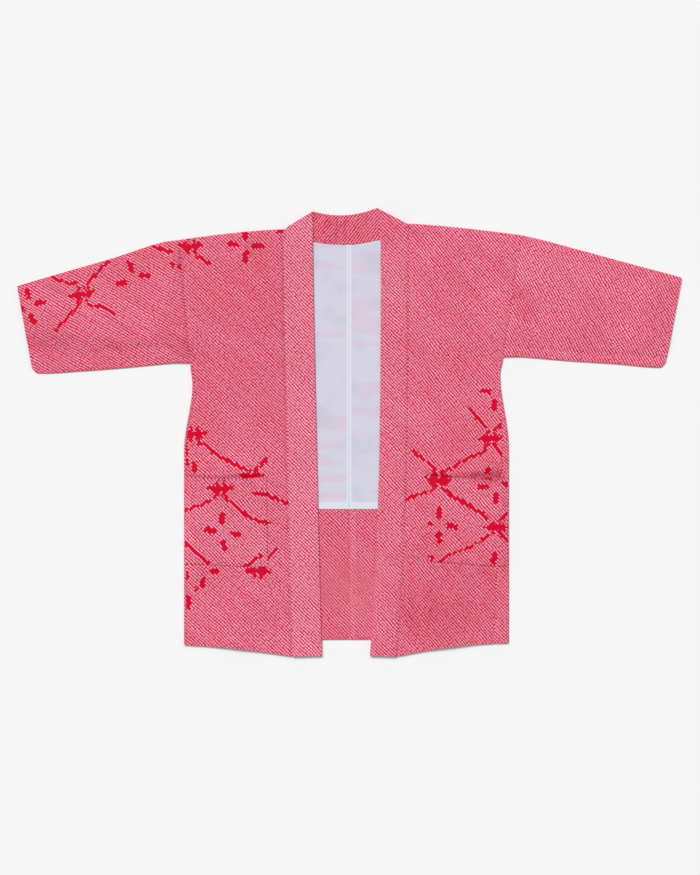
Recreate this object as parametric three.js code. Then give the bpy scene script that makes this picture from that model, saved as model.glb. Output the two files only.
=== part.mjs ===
// A hip-length haori of dotted tie-dyed silk, laid out flat with its front up.
//
// Millimetres. +X runs towards the wearer's left sleeve, +Y towards the collar and +Z up from the
// surface that the garment lies on. The origin is the middle of its outline, on that surface.
// Every piece of cloth is a wall with an outer and an inner face. The layers lie on each other from
// the back cloth upwards: back, lining or turned-up facing, front, then pockets and collar.
import * as THREE from 'three';

// Cloth walls, and the air between pieces.
const CLOTH = 1.4; // crinkled silk with the seam allowances behind it
const LINING = 1.0;
const POCKET_CLOTH = 1.2;
const AIR = 0.4; // between two layers that lie on each other
const SEAM = 0.3; // between two pieces that are sewn edge to edge

// Heights above the surface, where nothing lies under the back cloth.
const INSIDE_LEVEL = CLOTH + AIR; // underside of the lining and of the facing
const FRONT_LEVEL = INSIDE_LEVEL + CLOTH + AIR; // underside of the front cloth
const FLAT_HEIGHT = FRONT_LEVEL + CLOTH; // the garment from the surface to the front's face
const POCKET_LEVEL = FLAT_HEIGHT + AIR;
const FOLD_RADIUS = FLAT_HEIGHT / 2; // where the front turns over into the back
const SLEEVE_HEIGHT = 2 * CLOTH + 2 * AIR; // an empty sleeve lies lower than the body
const SLEEVE_SETTLE = 0.35; // the share of a sleeve's length in which it comes down to that
const COLLAR_HEIGHT = 2 * CLOTH + AIR; // the collar is folded in two along its length
const COLLAR_RADIUS = COLLAR_HEIGHT / 2;
const COLLAR_LIFT = CLOTH + AIR; // the collar's leaf behind the neck lifts what lies on it

// Lengths on the body. x is measured from the centre back, towards either side.
const CENTRE_X = -1; // the centre back seam
const BACK_HEM_Y = -398;
const BACK_HEM_DROP = 9; // the back hem hangs lower at the side than at the centre
const LINING_HEM_Y = -147; // below it shows the back cloth, turned up inside as a facing
const NECK_SEAM_Y = 361; // the lowest point of the back neck seam
const NECK_MIDDLE_X = -9;
const SHOULDER_LIP = 8; // the front turns this far under the shoulder fold
const COLLAR_OVERLAP = 4; // the collar's free edge covers the seam behind it
const FREE_EDGE_Y = 353; // the collar's free edge, on the outside of the back neck
const FREE_EDGE_RISE = 30;
const FREE_HALF = 118;
const LIFT_MARGIN = 18; // around the collar's leaf the cloth above it stays level
const LIFT_REACH = 120; // and over this length it comes down to the surface again
const COLLAR_DIP_X = -18; // the collar's top fold sags here, between its two peaks
const COLLAR_DIP_Y = 417.3;
const COLLAR_DIP_BEND = 0.00285;
const GORE_GAP_Y = 4; // a side gore starts this far below the sleeve

// The two sides as they lie. x is away from the middle on both. "tip" is the shoulder's end and
// "under" the armpit: the armhole seam runs between them. "peak" is the collar's highest corner and
// "neck" where its outer edge crosses the shoulder. "gore" gives the side gore's width on the front
// and on the back, under the arm and at the hem: the right side is turned so that it hides below.
const SIDES = {
  right: {
    sign: -1,
    neck: { x: 128, y: 390 },
    peak: { x: 70, y: 425.3 },
    tip: { x: 327, y: 370 },
    under: { x: 306, y: 133 },
    shoulderBow: 1.5,
    waist: { x: 302, y: 92 },
    hip: { x: 318, y: -35 },
    gore: { front: { top: 4, hem: 5 }, back: { top: 6, hem: 56 } },
    collar: { inTop: 70, inHem: 53, bow: 1.2, width: 56 },
    hem: { side: -408, collar: -430, bow: 1.5, end: -428.7 },
    pocket: { inner: 160, top: -85, foot: -257.5, sag: 5, lean: 3 },
    sleeve: [
      { share: 0, topX: 327, topY: 370, lowX: 306, lowY: 133 },
      { share: 0.12, topX: 364, topY: 364.5, lowX: 340, lowY: 133 },
      { share: 0.4, topX: 452, topY: 336, lowX: 424, lowY: 125 },
      { share: 0.7, topX: 545, topY: 309, lowX: 514, lowY: 118 },
      { share: 0.97, topX: 630, topY: 284, lowX: 600, lowY: 114 },
      { share: 1, topX: 638.4, topY: 281, lowX: 610, lowY: 123 },
    ],
  },
  left: {
    sign: 1,
    neck: { x: 112, y: 401 },
    peak: { x: 53, y: 431 },
    tip: { x: 331, y: 379 },
    under: { x: 295, y: 145 },
    shoulderBow: 1.35,
    waist: { x: 289.5, y: 112 },
    hip: { x: 306, y: -30 },
    gore: { front: { top: 4, hem: 30 }, back: { top: 6, hem: 31 } },
    collar: { inTop: 60, inHem: 39, bow: 3, width: 52 },
    hem: { side: -404, collar: -429.5, bow: 1.8, end: -428.7 },
    pocket: { inner: 149, top: -83, foot: -256, sag: 2, lean: -2 },
    sleeve: [
      { share: 0, topX: 331, topY: 379, lowX: 295, lowY: 145 },
      { share: 0.12, topX: 368, topY: 370.5, lowX: 332, lowY: 145 },
      { share: 0.4, topX: 454, topY: 347.5, lowX: 419, lowY: 137.5 },
      { share: 0.7, topX: 546, topY: 322.5, lowX: 512, lowY: 131.5 },
      { share: 0.97, topX: 630, topY: 300, lowX: 598, lowY: 125 },
      { share: 1, topX: 638.4, topY: 297, lowX: 607, lowY: 134 },
    ],
  },
};

// The largest soft folds of the upper layer. x and y are a fold's middle, turn is its direction from
// +X in degrees, and width is how far its slope runs to either side.
const FOLDS = [
  { x: -507, y: 177, turn: -12, length: 230, width: 24, height: 2.6 }, // along the right sleeve
  { x: -357, y: 163, turn: -28, length: 95, width: 16, height: 1.7 }, // into the right armpit
  { x: -290, y: 176, turn: -42, length: 75, width: 15, height: 2.8 },
  { x: -319, y: 262, turn: 90, length: 150, width: 15, height: 1.7 }, // beside the armhole seam
  { x: 335, y: 236, turn: -57, length: 105, width: 16, height: 1.7 }, // across the left armhole
  { x: 350, y: 178, turn: 80, length: 60, width: 15, height: 1.6 },
  { x: 572, y: 215, turn: 82, length: 150, width: 30, height: 2.8 }, // near the left cuff
  { x: 468, y: 232, turn: 78, length: 160, width: 34, height: 2.5 },
  { x: 200, y: 255, turn: -62, length: 190, width: 42, height: 3 }, // down the left chest
  { x: -212, y: 175, turn: 96, length: 260, width: 44, height: 3 }, // down the right chest
  { x: -206, y: -362, turn: 84, length: 150, width: 34, height: 3 }, // at the hem
  { x: 190, y: -372, turn: 97, length: 140, width: 34, height: 3 },
];

// The two creases that gather the collar behind the neck.
const NECK_CREASES = [
  { x: -21, width: 7, height: 2.2 },
  { x: -1, width: 8, height: 2.6 },
];

const mix = (a, b, share) => a + (b - a) * share;
const clamp = (value, low, high) => Math.min(high, Math.max(low, value));
const ease = (share) => {
  const t = clamp(share, 0, 1);
  return t * t * (3 - 2 * t);
};
const range = (count) => Array.from({ length: count }, (_, i) => i);
const spread = (count) => range(count).map((i) => i / (count - 1));

// A smooth value through a table's rows, by their share.
function along(rows, key, share) {
  const last = rows.length - 1;
  const i = clamp(rows.findIndex((row) => row.share >= share) - 1, 0, last - 1);
  const [a, b] = [rows[i], rows[i + 1]];
  const slope = (j) => {
    const [from, to] = [rows[Math.max(j - 1, 0)], rows[Math.min(j + 1, last)]];
    return (to[key] - from[key]) / (to.share - from.share);
  };
  const step = b.share - a.share;
  const t = (share - a.share) / step;
  const h = t * t * (3 - 2 * t);
  return (
    mix(a[key], b[key], h) +
    step * (slope(i) * t * (1 - t) ** 2 - slope(i + 1) * t * t * (1 - t))
  );
}

// The outlines of one side, as functions. ax is the distance from the middle.
function neckSeamY(side, ax) {
  const share = (side.sign * ax - NECK_MIDDLE_X) / (side.sign * side.neck.x - NECK_MIDDLE_X);
  return mix(NECK_SEAM_Y, side.neck.y - SHOULDER_LIP, share ** 2);
}

const freeEdgeY = (x) =>
  FREE_EDGE_Y + FREE_EDGE_RISE * clamp(Math.abs(x - NECK_MIDDLE_X) / FREE_HALF, 0, 1) ** 2;

function shoulderY(side, ax) {
  const share = clamp((ax - side.neck.x) / (side.tip.x - side.neck.x), 0, 1);
  return mix(side.neck.y, side.tip.y, share ** side.shoulderBow);
}

function armholeX(side, y) {
  return mix(side.under.x, side.tip.x, (y - side.under.y) / (side.tip.y - side.under.y));
}

function outerX(side, y) {
  if (y > side.waist.y) {
    const share = (side.under.y - y) / (side.under.y - side.waist.y);
    return mix(side.under.x, side.waist.x, ease(share));
  }
  return mix(side.waist.x, side.hip.x, ease((side.waist.y - y) / (side.waist.y - side.hip.y)));
}

function goreSeamX(side, face, y) {
  const share = clamp((side.under.y - y) / (side.under.y - side.hem.side), 0, 1);
  return outerX(side, y) - mix(side.gore[face].top, side.gore[face].hem, share);
}

// The outer edge of a front or back panel: the armhole, then the seam with the gore.
function panelEdgeX(side, face, y) {
  if (y >= side.under.y) return armholeX(side, y) - SEAM / 2;
  const share = clamp((side.under.y - y) / GORE_GAP_Y, 0, 1);
  return mix(side.under.x - SEAM / 2, goreSeamX(side, face, y), share);
}

function collarInX(side, y) {
  const { inTop, inHem, bow } = side.collar;
  if (y > NECK_SEAM_Y) return mix(inTop, side.peak.x, (y - NECK_SEAM_Y) / (side.peak.y - NECK_SEAM_Y));
  return mix(inTop, inHem, ((NECK_SEAM_Y - y) / (NECK_SEAM_Y - side.hem.end)) ** bow);
}

const collarOutX = (side, y) =>
  Math.min(collarInX(side, Math.min(y, NECK_SEAM_Y)) + side.collar.width, side.neck.x);

function frontHemY(side, ax) {
  const [from, to] = [side.hip.x, side.collar.inHem + side.collar.width];
  const share = clamp((from - ax) / (from - to), 0, 1);
  return mix(side.hem.side, side.hem.collar, share ** side.hem.bow);
}

const backHemY = (ax) => BACK_HEM_Y - BACK_HEM_DROP * (ax / SIDES.right.hip.x) ** 2;

const backTopY = (side, ax) =>
  (ax < side.neck.x ? neckSeamY(side, ax) : shoulderY(side, ax) - SHOULDER_LIP) - SEAM;

// How far the collar's leaf behind the neck holds up the cloth above it.
function lift(x, y) {
  const aside = Math.max(0, Math.abs(x - NECK_MIDDLE_X) - FREE_HALF);
  const below = Math.max(0, freeEdgeY(x) - y);
  return COLLAR_LIFT * ease(1 + (LIFT_MARGIN - Math.hypot(aside, below)) / LIFT_REACH);
}

// How far the folds raise the upper layer. Each fades out over the last part of its length.
const FOLD_FADE = 0.5;

function raise(x, y) {
  return FOLDS.reduce((sum, fold) => {
    const turn = THREE.MathUtils.degToRad(fold.turn);
    const [dx, dy] = [x - fold.x, y - fold.y];
    const lengthwise = dx * Math.cos(turn) + dy * Math.sin(turn);
    const across = dy * Math.cos(turn) - dx * Math.sin(turn);
    const fade = ease((1 - Math.abs(lengthwise) / (fold.length / 2)) / FOLD_FADE);
    return sum + fold.height * fade * Math.exp(-((across / fold.width) ** 2));
  }, 0);
}

// A closed wall between two grids of points, outer[i][j] and inner[i][j]. With around set, each
// row is a ring, and the wall is a tube that is open at both ends.
function wall(outer, inner, around = false) {
  const [rows, columns] = [outer.length, outer[0].length];
  const positions = [...outer.flat(), ...inner.flat()].flat();
  const at = (i, j, layer) => layer * rows * columns + i * columns + (j % columns);
  const faces = [];
  const quad = (a, b, c, d) => faces.push(a, b, c, a, c, d);
  const spans = around ? columns : columns - 1;
  range(rows - 1).forEach((i) =>
    range(spans).forEach((j) => {
      quad(at(i, j, 0), at(i + 1, j, 0), at(i + 1, j + 1, 0), at(i, j + 1, 0));
      quad(at(i, j, 1), at(i, j + 1, 1), at(i + 1, j + 1, 1), at(i + 1, j, 1));
    }),
  );
  range(spans).forEach((j) => {
    quad(at(0, j, 0), at(0, j + 1, 0), at(0, j + 1, 1), at(0, j, 1));
    quad(at(rows - 1, j, 0), at(rows - 1, j, 1), at(rows - 1, j + 1, 1), at(rows - 1, j + 1, 0));
  });
  if (!around) {
    range(rows - 1).forEach((i) => {
      quad(at(i, 0, 0), at(i, 0, 1), at(i + 1, 0, 1), at(i + 1, 0, 0));
      const j = columns - 1;
      quad(at(i, j, 0), at(i + 1, j, 0), at(i + 1, j, 1), at(i, j, 1));
    });
  }
  const geometry = new THREE.BufferGeometry();
  geometry.setAttribute('position', new THREE.Float32BufferAttribute(positions, 3));
  geometry.setIndex(signedVolume(positions, faces) < 0 ? faces.reverse() : faces);
  return geometry;
}

function signedVolume(positions, faces) {
  const point = (i) => new THREE.Vector3().fromArray(positions, faces[i] * 3);
  return range(faces.length / 3).reduce((sum, face) => {
    const [a, b, c] = [0, 1, 2].map((corner) => point(face * 3 + corner));
    return sum + a.dot(b.cross(c)) / 6;
  }, 0);
}

// A wall whose cross-section is a path with a half-round bend. Each leaf is a list of points with a
// place along the section, the height of its outer face and its thickness. The first leaf lies
// below and its outer face looks down; the second lies above it and looks up. The bend has its
// middle at "turn" and bulges towards "way" (+1 or -1).
const BEND_STEPS = 4;

function section(lower, upper, turn, way) {
  const outer = lower.map(({ at, z }) => ({ at, z }));
  const inner = lower.map(({ at, z, thick }) => ({ at, z: z + thick }));
  const from = lower[lower.length - 1];
  const to = upper[0];
  const middle = (from.z + to.z) / 2;
  const radius = (to.z - from.z) / 2;
  range(BEND_STEPS - 1).forEach((i) => {
    const angle = -Math.PI / 2 + (Math.PI * (i + 1)) / BEND_STEPS;
    const place = (r) => ({ at: turn + way * r * Math.cos(angle), z: middle + r * Math.sin(angle) });
    outer.push(place(radius));
    inner.push(place(radius - from.thick));
  });
  upper.forEach(({ at, z, thick }) => {
    outer.push({ at, z });
    inner.push({ at, z: z - thick });
  });
  return { outer, inner };
}

function piece(name, geometry, color) {
  geometry.computeVertexNormals();
  const material = new THREE.MeshStandardMaterial({ color, roughness: 0.85, metalness: 0 });
  const mesh = new THREE.Mesh(geometry, material);
  mesh.name = name;
  return mesh;
}

const DOTTED_SILK = 0xe06d82;
const LINING_SILK = 0xd6d0de;

// The rows of points down a panel. Each gives y as a function of ax. Below the armpit they are at
// the same heights on every piece that is sewn to the side.
const ARM_ROWS = 6; // from the shoulder to the armpit
const WAIST_ROWS = 8; // from there to the lining's hem
const SKIRT_ROWS = 5; // and on to the hem

const armRows = (side, top) =>
  spread(ARM_ROWS).map((t) => (ax) => mix(top(ax), side.under.y, t));
const waistRows = (side) =>
  spread(WAIST_ROWS).map((t) => () => mix(side.under.y - GORE_GAP_Y, LINING_HEM_Y, t));
const skirtRows = (side, foot) => [
  ...spread(SKIRT_ROWS).slice(1, -1).map((t) => () => mix(LINING_HEM_Y, side.hem.side, t)),
  foot,
];

// A panel's point at u across, on a row. Its edges bend, so its place is found in a few rounds.
const ROUNDS = 6;

function panelPoint(side, face, u, row, inner) {
  const point = { ax: 0, y: row(0) };
  range(ROUNDS).forEach(() => {
    point.ax = mix(inner(point.y), panelEdgeX(side, face, point.y), u);
    point.y = row(point.ax);
  });
  return point;
}

// A front: it starts as a lip under the shoulder fold, turns over it and runs down to the hem.
const FRONT_COLUMNS = 10;

const frontRows = (side) => [
  ...armRows(side, (ax) => shoulderY(side, ax) - FOLD_RADIUS),
  ...waistRows(side),
  ...skirtRows(side, (ax) => frontHemY(side, ax)),
];

const frontInnerX = (side, y) => collarOutX(side, y) - COLLAR_OVERLAP;

function front(side) {
  const rows = frontRows(side);
  const columns = spread(FRONT_COLUMNS).map((u) => {
    const upper = rows.map((row, i) => {
      const { ax, y } = panelPoint(side, 'front', u, row, (at) => frontInnerX(side, at));
      const x = side.sign * ax;
      const z = FLAT_HEIGHT + lift(x, y) + (i > 0 ? raise(x, y) : 0);
      return { x, at: y, z, thick: CLOTH };
    });
    const turn = upper[0];
    const base = lift(turn.x, turn.at);
    const lipY = turn.at - SHOULDER_LIP + FOLD_RADIUS;
    const lipX = side.sign * mix(frontInnerX(side, lipY), panelEdgeX(side, 'front', lipY), u);
    const lower = [
      { x: lipX, at: lipY, z: base, thick: CLOTH },
      { x: turn.x, at: turn.at, z: base, thick: CLOTH },
    ];
    const { outer, inner } = section(lower, upper, turn.at, 1);
    const bend = range(BEND_STEPS - 1).map(() => turn);
    const places = [...lower, ...bend, ...upper].map(({ x }) => x);
    const points = (list) => list.map(({ at, z }, i) => [places[i], at, z]);
    return { outer: points(outer), inner: points(inner) };
  });
  return wall(columns.map((c) => c.outer), columns.map((c) => c.inner));
}

// A back: from the neck and shoulder down to the hem, then turned up inside as a facing.
const BACK_COLUMNS = [0, 0.08, 0.16, 0.24, 0.32, 0.39, 0.55, 0.7, 0.85, 1]; // closer at the neck
const HEM_RADIUS = (INSIDE_LEVEL + CLOTH) / 2;

function backPoint(side, u, row) {
  const { ax, y } = panelPoint(side, 'back', u, row, () => side.sign * CENTRE_X + SEAM / 2);
  return { x: side.sign * ax, y };
}

const liningRows = (side) => [...armRows(side, (ax) => backTopY(side, ax)), ...waistRows(side)];

function back(side) {
  const foldRows = skirtRows(side, (ax) => backHemY(ax) + HEM_RADIUS);
  const facingRows = [() => LINING_HEM_Y - SEAM, ...foldRows].reverse();
  const columns = BACK_COLUMNS.map((u) => {
    const lower = [...liningRows(side), ...foldRows].map((row) => {
      const { x, y } = backPoint(side, u, row);
      return { x, at: y, z: lift(x, y), thick: CLOTH };
    });
    const upper = facingRows.map((row) => {
      const { x, y } = backPoint(side, u, row);
      return { x, at: y, z: INSIDE_LEVEL + CLOTH, thick: CLOTH };
    });
    const turn = upper[0];
    const { outer, inner } = section(lower, upper, turn.at, -1);
    const bend = range(BEND_STEPS - 1).map(() => turn);
    const places = [...lower, ...bend, ...upper].map(({ x }) => x);
    const points = (list) => list.map(({ at, z }, i) => [places[i], at, z]);
    return { outer: points(outer), inner: points(inner) };
  });
  return wall(columns.map((c) => c.outer), columns.map((c) => c.inner));
}

// Half of the back's lining, from the neck seam to its own hem, on the back's own rows.
function lining(side) {
  const grid = (height) =>
    BACK_COLUMNS.map((u) =>
      liningRows(side).map((row) => {
        const { x, y } = backPoint(side, u, row);
        return [x, y, INSIDE_LEVEL + lift(x, y) + height];
      }),
    );
  return wall(grid(LINING), grid(0));
}

// A sleeve: one tube, folded along its top, seamed along its foot, open at armhole and cuff. Its
// rings run from the foot along the lower layer, round the fold and back along the upper layer.
const SLEEVE_STATIONS = [0, 0.06, 0.14, 0.22, 0.3, 0.39, 0.48, 0.57, 0.66, 0.75, 0.84, 0.92, 0.97, 1];
const SLEEVE_LOWER = 4;
const SLEEVE_UPPER = 12;

function sleeveRing(side, share) {
  const corner = (name) =>
    new THREE.Vector2(
      side.sign * (along(side.sleeve, `${name}X`, share) + (SEAM / 2) * (1 - share)),
      along(side.sleeve, `${name}Y`, share),
    );
  const [low, top] = [corner('low'), corner('top')];
  const width = low.distanceTo(top);
  const height = mix(FLAT_HEIGHT, SLEEVE_HEIGHT, ease(share / SLEEVE_SETTLE));
  const radius = height / 2;
  const plan = (at) => low.clone().lerp(top, at / width);
  const lower = spread(SLEEVE_LOWER).map((t) => ({
    at: mix(radius, width - radius, t),
    z: 0,
    thick: CLOTH,
  }));
  const upper = spread(SLEEVE_UPPER).map((t) => {
    const at = mix(width - radius, radius, t);
    const { x, y } = plan(at);
    const edge = t === 0 || t === 1;
    return { at, z: height + (edge ? 0 : raise(x, y)), thick: CLOTH };
  });
  const { outer, inner } = section(lower, upper, width - radius, 1);
  range(BEND_STEPS - 1).forEach((i) => {
    const angle = Math.PI / 2 + (Math.PI * (i + 1)) / BEND_STEPS;
    const place = (r) => ({ at: radius + r * Math.cos(angle), z: radius + r * Math.sin(angle) });
    outer.push(place(radius));
    inner.push(place(radius - CLOTH));
  });
  const points = (list) =>
    list.map(({ at, z }) => {
      const { x, y } = plan(at);
      return [x, y, z];
    });
  return { outer: points(outer), inner: points(inner) };
}

function sleeve(side) {
  const rings = SLEEVE_STATIONS.map((share) => sleeveRing(side, share));
  return wall(rings.map((r) => r.outer), rings.map((r) => r.inner), true);
}

// A side gore: a narrow wedge between front and back, folded in two along the garment's side.
const GORE_LEAF = 3;

function gore(side) {
  const stations = [...waistRows(side), ...skirtRows(side, () => side.hem.side)];
  const rows = stations.map((station) => {
    const y = station();
    const seam = (face) => goreSeamX(side, face, y) + SEAM;
    const turn = outerX(side, y) - FOLD_RADIUS;
    const lower = spread(GORE_LEAF).map((t) => ({
      at: mix(seam('back'), turn, t),
      z: 0,
      thick: CLOTH,
    }));
    const upper = spread(GORE_LEAF).map((t) => ({
      at: mix(turn, seam('front'), t),
      z: FLAT_HEIGHT,
      thick: CLOTH,
    }));
    const { outer, inner } = section(lower, upper, turn, 1);
    const points = (list) => list.map(({ at, z }) => [side.sign * at, y, z]);
    return { outer: points(outer), inner: points(inner) };
  });
  return wall(rows.map((r) => r.outer), rows.map((r) => r.inner));
}

// The collar on one front: folded in two, with the fold at the garment's opening and the free edge
// on top. Its upper end lies aslant over the shoulder.
const COLLAR_STATIONS = 22;
const COLLAR_LEAF = 3;
const COLLAR_END_INSET = 1.5; // below the neck piece's top fold
const COLLAR_HEM_SLANT = 1.5; // its outer corner at the hem hangs lower than its inner one

function collarFront(side) {
  const rows = spread(COLLAR_STATIONS).map((v) => {
    const station = (q) => {
      const end = mix(side.peak.y, side.neck.y, q) - COLLAR_END_INSET;
      return mix(side.hem.end - q * COLLAR_HEM_SLANT, end, v);
    };
    const place = (q, reach) => {
      const y = station(q);
      const ax = mix(collarInX(side, y) + COLLAR_RADIUS, reach(y), q);
      const x = side.sign * ax;
      return { at: ax, y, base: FRONT_LEVEL + lift(x, y) + raise(x, y) };
    };
    const foot = (y) => collarOutX(side, y) - COLLAR_OVERLAP - 2 * SEAM;
    const lower = spread(COLLAR_LEAF).map((t) => place(1 - t, foot));
    const upper = spread(COLLAR_LEAF).map((t) => place(t, (y) => collarOutX(side, y)));
    const leafOf = (list, height) =>
      list.map(({ at, base }) => ({ at, z: base + height, thick: CLOTH }));
    const turn = lower[COLLAR_LEAF - 1];
    const { outer, inner } = section(leafOf(lower, 0), leafOf(upper, COLLAR_HEIGHT), turn.at, -1);
    const heights = [
      ...lower.map((p) => p.y),
      ...range(BEND_STEPS - 1).map(() => turn.y),
      ...upper.map((p) => p.y),
    ];
    const points = (list) => list.map(({ at, z }, i) => [side.sign * at, heights[i], z]);
    return { outer: points(outer), inner: points(inner) };
  });
  return wall(rows.map((r) => r.outer), rows.map((r) => r.inner));
}

// The collar behind the neck: its inner leaf stands above the lining, turns over at the top fold and
// comes down outside the back cloth, which lies on it.
const NECK_STATIONS = 23;
const NECK_LEAF = 5;
const NECK_END_GAP = 2; // to the front that lies beside it under the collar

function collarTopY(x) {
  const [right, left] = [SIDES.right, SIDES.left];
  const slant = (side) =>
    mix(side.peak.y, side.neck.y, (Math.abs(x) - side.peak.x) / (side.neck.x - side.peak.x));
  if (x < -right.peak.x) return slant(right);
  if (x > left.peak.x) return slant(left);
  return COLLAR_DIP_Y + COLLAR_DIP_BEND * (x - COLLAR_DIP_X) ** 2;
}

function neckCrease(x, share) {
  return NECK_CREASES.reduce(
    (sum, crease) => sum + crease.height * share * Math.exp(-(((x - crease.x) / crease.width) ** 2)),
    0,
  );
}

function collarNeck() {
  const ends = [SIDES.right, SIDES.left].map(
    (side) => side.sign * (collarOutX(side, side.neck.y) - COLLAR_OVERLAP - NECK_END_GAP),
  );
  const height = INSIDE_LEVEL + COLLAR_LIFT + CLOTH;
  const radius = height / 2;
  const columns = spread(NECK_STATIONS).map((u) => {
    const x = mix(ends[0], ends[1], u);
    const seam = neckSeamY(x < CENTRE_X ? SIDES.right : SIDES.left, Math.abs(x));
    const turn = collarTopY(x) - radius;
    const lower = spread(NECK_LEAF).map((t) => ({
      at: mix(freeEdgeY(x), turn, t),
      z: 0,
      thick: CLOTH,
    }));
    const upper = spread(NECK_LEAF).map((t) => ({
      at: mix(turn, seam + SEAM, t),
      z: height + (t > 0 ? neckCrease(x, 1 - t) : 0),
      thick: CLOTH,
    }));
    const { outer, inner } = section(lower, upper, turn, 1);
    const points = (list) => list.map(({ at, z }) => [x, at, z]);
    return { outer: points(outer), inner: points(inner) };
  });
  return wall(columns.map((c) => c.outer), columns.map((c) => c.inner));
}

// A patch pocket, sewn on the front with its mouth up. The mouth stands a little open.
const POCKET_COLUMNS = 9;
const POCKET_ROWS = 8;
const POCKET_MOUTH = 2.4;
const POCKET_SIDE_INSET = 2;

function pocket(side) {
  const { inner, top, foot, sag, lean } = side.pocket;
  const grid = (height) =>
    spread(POCKET_COLUMNS).map((u) =>
      spread(POCKET_ROWS).map((v) => {
        const y = mix(top - sag * Math.sin(Math.PI * u), foot, v);
        const ax = mix(inner - lean * v, outerX(side, y) - POCKET_SIDE_INSET, u);
        const x = side.sign * ax;
        const gape = POCKET_MOUTH * Math.sin(Math.PI * u) * (1 - v) ** 2;
        return [x, y, POCKET_LEVEL + lift(x, y) + raise(x, y) + gape + height];
      }),
    );
  return wall(grid(POCKET_CLOTH), grid(0));
}

const haori = new THREE.Group();
haori.name = 'haori';
Object.entries(SIDES).forEach(([name, side]) => {
  haori.add(piece(`back_${name}`, back(side), DOTTED_SILK));
  haori.add(piece(`lining_${name}`, lining(side), LINING_SILK));
  haori.add(piece(`front_${name}`, front(side), DOTTED_SILK));
  haori.add(piece(`gore_${name}`, gore(side), DOTTED_SILK));
  haori.add(piece(`sleeve_${name}`, sleeve(side), DOTTED_SILK));
  haori.add(piece(`pocket_${name}`, pocket(side), DOTTED_SILK));
  haori.add(piece(`collar_front_${name}`, collarFront(side), DOTTED_SILK));
});
haori.add(piece('collar_neck', collarNeck(), DOTTED_SILK));

export default haori;
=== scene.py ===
import math

import bpy
import numpy as np
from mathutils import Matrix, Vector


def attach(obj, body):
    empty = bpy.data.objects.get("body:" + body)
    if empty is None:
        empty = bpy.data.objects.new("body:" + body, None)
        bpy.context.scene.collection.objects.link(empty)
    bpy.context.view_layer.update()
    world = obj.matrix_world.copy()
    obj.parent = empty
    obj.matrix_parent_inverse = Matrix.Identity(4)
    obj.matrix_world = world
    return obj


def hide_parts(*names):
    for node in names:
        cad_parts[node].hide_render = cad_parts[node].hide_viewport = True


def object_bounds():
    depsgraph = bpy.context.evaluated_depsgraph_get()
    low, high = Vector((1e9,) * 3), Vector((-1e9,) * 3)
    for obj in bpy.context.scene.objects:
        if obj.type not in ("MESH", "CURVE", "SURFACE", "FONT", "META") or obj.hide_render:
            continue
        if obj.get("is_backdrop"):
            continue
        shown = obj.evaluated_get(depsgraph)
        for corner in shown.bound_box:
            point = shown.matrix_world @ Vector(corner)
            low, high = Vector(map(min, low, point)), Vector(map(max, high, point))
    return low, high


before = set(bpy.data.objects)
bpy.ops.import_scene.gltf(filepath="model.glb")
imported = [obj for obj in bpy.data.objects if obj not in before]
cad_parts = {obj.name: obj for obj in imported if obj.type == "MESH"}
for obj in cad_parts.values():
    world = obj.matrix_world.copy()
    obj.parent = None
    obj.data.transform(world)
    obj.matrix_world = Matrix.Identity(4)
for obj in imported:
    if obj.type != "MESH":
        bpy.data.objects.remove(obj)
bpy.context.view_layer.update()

# Backs. Two lengths of red silk crepe, sewn together down the centre back. Each is turned up at the
# hem and runs on inside as the facing that shows between the fronts. The silk is dyed with kanoko
# dots: every dot is a pinch of cloth bound with thread, which keeps the dye out and stays puckered.
MM = 0.001  # sizes below are in millimetres
SILK = 0.9  # crepe with its puckers
CLOTH = 1.4  # the room that the solids give to a layer and its seam allowances
AIR = 0.4
SEAM = 0.3
INSIDE_LEVEL = CLOTH + AIR
FACING_TOP = INSIDE_LEVEL + CLOTH
FRONT_LEVEL = FACING_TOP + AIR
FLAT_HEIGHT = FRONT_LEVEL + CLOTH
FOLD_RADIUS = FLAT_HEIGHT / 2
HEM_RADIUS = FACING_TOP / 2
CENTRE_X = -1
BACK_HEM_Y = -398
BACK_HEM_DROP = 9
LINING_HEM_Y = -147
NECK_SEAM_Y = 361
NECK_MIDDLE_X = -9
SHOULDER_LIP = 8
GORE_GAP = 4
FREE_EDGE_Y = 353
FREE_EDGE_RISE = 30
FREE_HALF = 118
COLLAR_LIFT = CLOTH + AIR
LIFT_MARGIN = 18
LIFT_REACH = 120
BODY_WIDTH = 310
COVERED_STEP = 5  # from point to point, where a layer is mostly covered
FACING_STEP = 4

# x is away from the middle on both sides. "tip" is the shoulder's end, "under" the armpit, "peak" the
# collar's highest corner and "neck" where the collar's outer edge crosses the shoulder.
SIDES = {
    "right": dict(
        sign=-1, neck=(128, 390), peak=(70, 425.3), tip=(327, 370), under=(306, 133), shoulder_bow=1.5,
        waist=(302, 92), hip=(318, -35), gore_top=dict(front=4, back=6), gore_hem=dict(front=5, back=56),
        collar_top=70, collar_hem=53, collar_bow=1.2, collar_width=56,
        hem_side=-408, hem_collar=-430, hem_bow=1.5, hem_end=-428.7,
    ),
    "left": dict(
        sign=1, neck=(112, 401), peak=(53, 431), tip=(331, 379), under=(295, 145), shoulder_bow=1.35,
        waist=(289.5, 112), hip=(306, -30), gore_top=dict(front=4, back=6), gore_hem=dict(front=30, back=31),
        collar_top=60, collar_hem=39, collar_bow=3, collar_width=52,
        hem_side=-404, hem_collar=-429.5, hem_bow=1.8, hem_end=-428.7,
    ),
}


def mix(a, b, share):
    return a + (b - a) * share


def ease(share):
    t = np.clip(share, 0, 1)
    return t * t * (3 - 2 * t)


def stack(x, y, z):
    return np.stack(np.broadcast_arrays(x, y, z), axis=-1).astype(float)


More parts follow.
